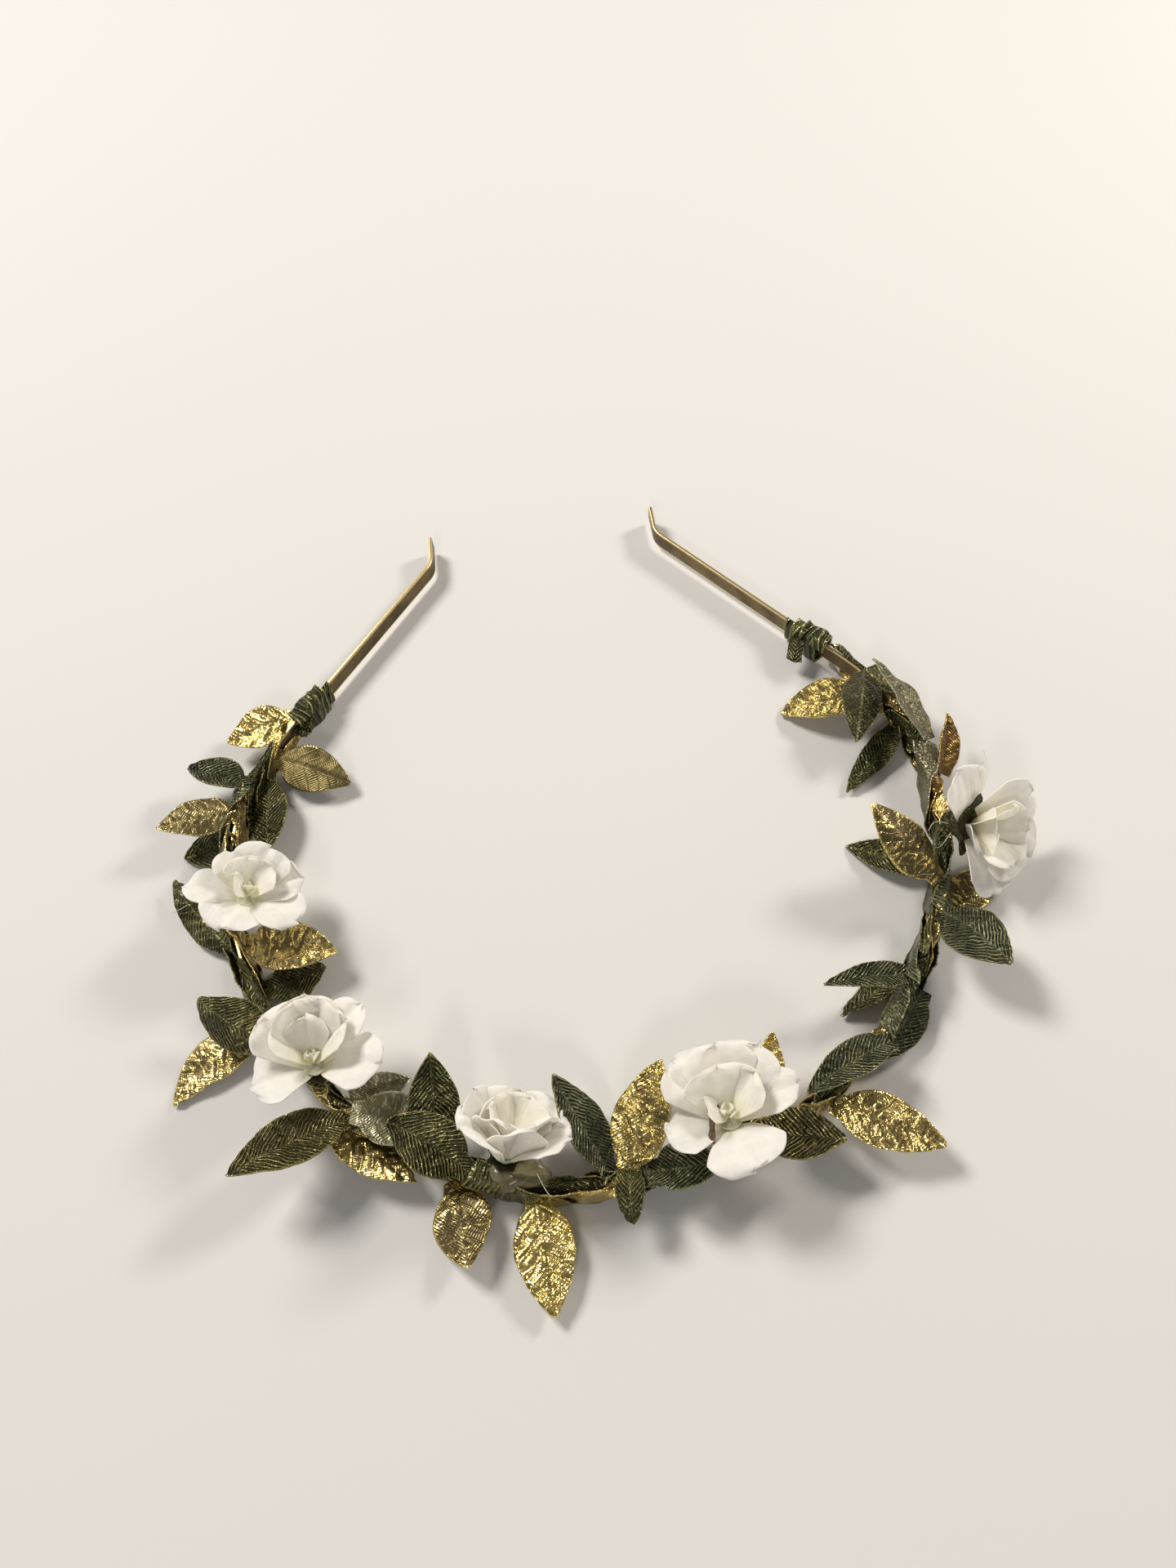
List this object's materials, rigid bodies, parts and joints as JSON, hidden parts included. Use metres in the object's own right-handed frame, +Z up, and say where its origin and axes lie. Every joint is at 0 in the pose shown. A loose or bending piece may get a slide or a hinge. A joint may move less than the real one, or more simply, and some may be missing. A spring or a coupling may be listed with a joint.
{
  "type": "flower crown",
  "caption": "Open head band on its edge, wound with green and gold ribbon and carrying fabric leaves and small white flowers along its front and sides.",
  "frame": {"origin": "centre of the round front half of the head band, on the plane that the crown lies on", "axes": "+Z up with the crown lying flat and its band on edge; -Y the front of the crown, +Y the open back between the tips; +X the wearer's side on the right when seen from above with the front nearest"},
  "size_m": [0.1655, 0.1615, 0.021],
  "materials": {
    "band_metal": "dull gold plated spring strip",
    "green_ribbon": "dark green satin ribbon",
    "gold_ribbon": "gold foiled ribbon",
    "green_leaf": "dark green satin with embossed veins",
    "gold_leaf": "crinkled gold foil on fabric",
    "petal": "thin warm white silk fabric",
    "flower_heart": "pale yellow-green rolled silk"
  },
  "bodies": {
    "root": {"band": "band_metal", "stem_green": "green_ribbon", "stem_gold": "gold_ribbon", "coil_left": "green_ribbon", "coil_right": "green_ribbon", "leaf_green_01": "green_leaf", "leaf_green_02": "green_leaf", "leaf_green_03": "green_leaf", "leaf_green_04": "green_leaf", "leaf_green_05": "green_leaf", "leaf_green_06": "green_leaf", "leaf_green_07": "green_leaf", "leaf_green_08": "green_leaf", "leaf_green_09": "green_leaf", "leaf_green_10": "green_leaf", "leaf_green_11": "green_leaf", "leaf_green_12": "green_leaf", "leaf_green_13": "green_leaf", "leaf_green_14": "green_leaf", "leaf_green_15": "green_leaf", "leaf_green_16": "green_leaf", "leaf_green_17": "green_leaf", "leaf_green_18": "green_leaf", "leaf_green_19": "green_leaf", "leaf_green_20": "green_leaf", "leaf_green_21": "green_leaf", "leaf_green_22": "green_leaf", "leaf_gold_01": "gold_leaf", "leaf_gold_02": "gold_leaf", "leaf_gold_03": "gold_leaf", "leaf_gold_04": "gold_leaf", "leaf_gold_05": "gold_leaf", "leaf_gold_06": "gold_leaf", "leaf_gold_07": "gold_leaf", "leaf_gold_08": "gold_leaf", "leaf_gold_09": "gold_leaf", "leaf_gold_10": "gold_leaf", "leaf_gold_11": "gold_leaf", "leaf_gold_12": "gold_leaf", "leaf_gold_13": "gold_leaf", "leaf_gold_14": "gold_leaf", "leaf_gold_15": "gold_leaf", "leaf_gold_16": "gold_leaf", "leaf_gold_17": "gold_leaf", "leaf_gold_18": "gold_leaf", "flower_1_outer": "petal", "flower_1_inner": "petal", "flower_1_bud": "flower_heart", "flower_2_outer": "petal", "flower_2_inner": "petal", "flower_2_bud": "flower_heart", "flower_3_outer": "petal", "flower_3_inner": "petal", "flower_3_bud": "flower_heart", "flower_4_outer": "petal", "flower_4_inner": "petal", "flower_4_bud": "flower_heart", "flower_5_outer": "petal", "flower_5_inner": "petal", "flower_5_bud": "flower_heart"}
  },
  "joints": []
}
